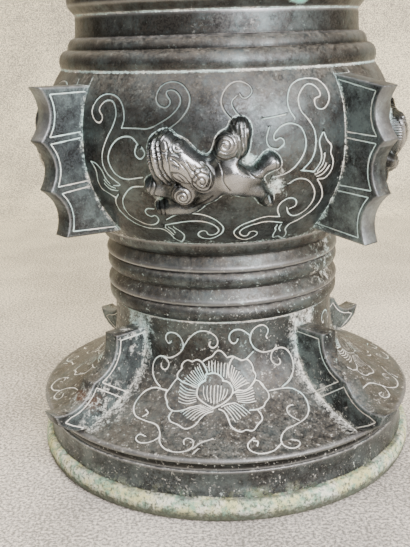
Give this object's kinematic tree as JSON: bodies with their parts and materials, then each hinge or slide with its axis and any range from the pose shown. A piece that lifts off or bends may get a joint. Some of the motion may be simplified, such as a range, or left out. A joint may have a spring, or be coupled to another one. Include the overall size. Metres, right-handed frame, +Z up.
{
  "type": "flanged bronze vase",
  "caption": "Flanged vase of archaic form with a flared neck, a swelling bulb with lion reliefs, a ribbed stem and a bell foot; holds flowers and stands on its foot ring.",
  "frame": {"origin": "on the vase's axis, at the floor under the foot ring", "axes": "+Z up along the vase's axis, -Y out of the front panel, +X to the viewer's right when facing the front panel"},
  "size_m": [0.184, 0.184, 0.3449],
  "materials": {
    "dark_bronze": "dark brown-black bronze patina, satin",
    "flange_bronze": "dark grey bronze patina, matt",
    "relief_bronze": "dark brown bronze, rubbed on its high points",
    "crusted_rim": "bronze under a pale yellow-green corrosion crust"
  },
  "bodies": {
    "root": {"foot_base_ring": "crusted_rim", "foot_bell": "dark_bronze", "stem_collar": "dark_bronze", "bottom_plate": "dark_bronze", "bulb_body": "dark_bronze", "shoulder_collar": "dark_bronze", "neck_ring": "dark_bronze", "trumpet_neck": "dark_bronze", "foot_flange_front_right": "flange_bronze", "bulb_flange_front_right": "flange_bronze", "neck_flange_front_right": "flange_bronze", "foot_flange_back_right": "flange_bronze", "bulb_flange_back_right": "flange_bronze", "neck_flange_back_right": "flange_bronze", "foot_flange_back_left": "flange_bronze", "bulb_flange_back_left": "flange_bronze", "neck_flange_back_left": "flange_bronze", "foot_flange_front_left": "flange_bronze", "bulb_flange_front_left": "flange_bronze", "neck_flange_front_left": "flange_bronze", "lion_relief_front": "relief_bronze", "lion_relief_right": "relief_bronze", "lion_relief_back": "relief_bronze", "lion_relief_left": "relief_bronze"}
  },
  "joints": []
}
